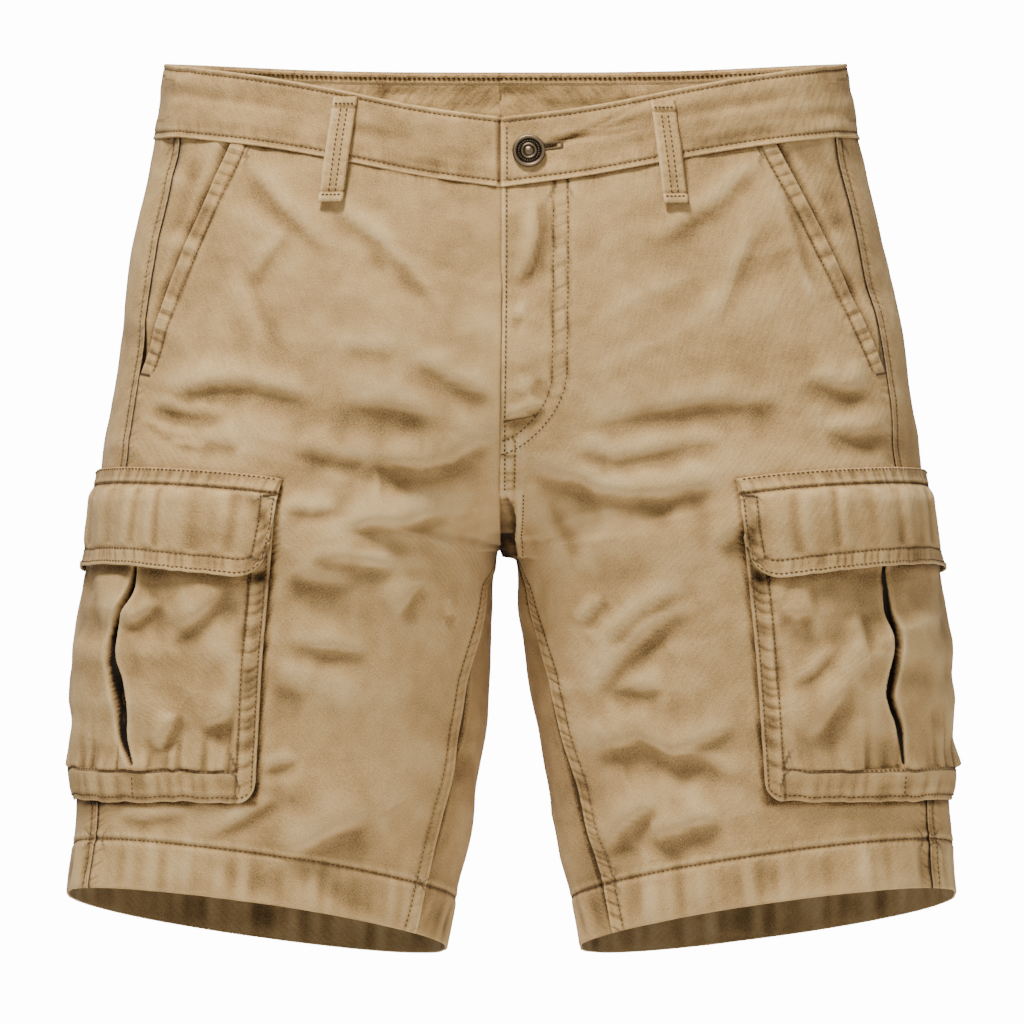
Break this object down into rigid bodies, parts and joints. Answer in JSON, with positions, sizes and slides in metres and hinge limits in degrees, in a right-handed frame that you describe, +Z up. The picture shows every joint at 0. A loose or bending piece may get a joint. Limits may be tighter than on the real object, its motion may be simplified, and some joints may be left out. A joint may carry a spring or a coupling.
{
  "type": "cargo shorts",
  "caption": "Knee-length cotton cargo shorts, filled out as if worn, with slant pockets, flapped pleated cargo pockets, belt loops and a buttoned waistband.",
  "frame": {"origin": "middle of the waist opening, at the height of the waistband's top edge above the side seams, where a wearer's waist holds the shorts up", "axes": "+Z up out of the waist opening, -Y out of the front, +X to the wearer's left"},
  "size_m": [0.534, 0.2136, 0.5323],
  "materials": {
    "khaki_cloth": "washed khaki cotton twill, matt, with faded seam ridges and soft mottling",
    "thread": "tan brown sewing thread, matt, a little darker than the cloth",
    "zip_tape": "woven tape in the cloth's colour",
    "zip_metal": "dull antique brass teeth and slider",
    "button_metal": "dark antique brass, worn lighter on its raised rings"
  },
  "bodies": {
    "root": {"front_left": "khaki_cloth", "front_right": "khaki_cloth", "back_left": "khaki_cloth", "back_right": "khaki_cloth", "waistband_left": "khaki_cloth", "waistband_right": "khaki_cloth", "pocket_facing_left": "khaki_cloth", "pocket_facing_right": "khaki_cloth", "cargo_pocket_left": "khaki_cloth", "cargo_pocket_right": "khaki_cloth", "cargo_flap_left": "khaki_cloth", "cargo_flap_right": "khaki_cloth", "belt_loop_front_left": "khaki_cloth", "belt_loop_front_right": "khaki_cloth", "belt_loop_back_left": "khaki_cloth", "belt_loop_back_right": "khaki_cloth", "belt_loop_centre_back": "khaki_cloth", "waist_button": "button_metal", "fly_zip": "zip_tape", "fly_shield": "khaki_cloth"}
  },
  "joints": []
}
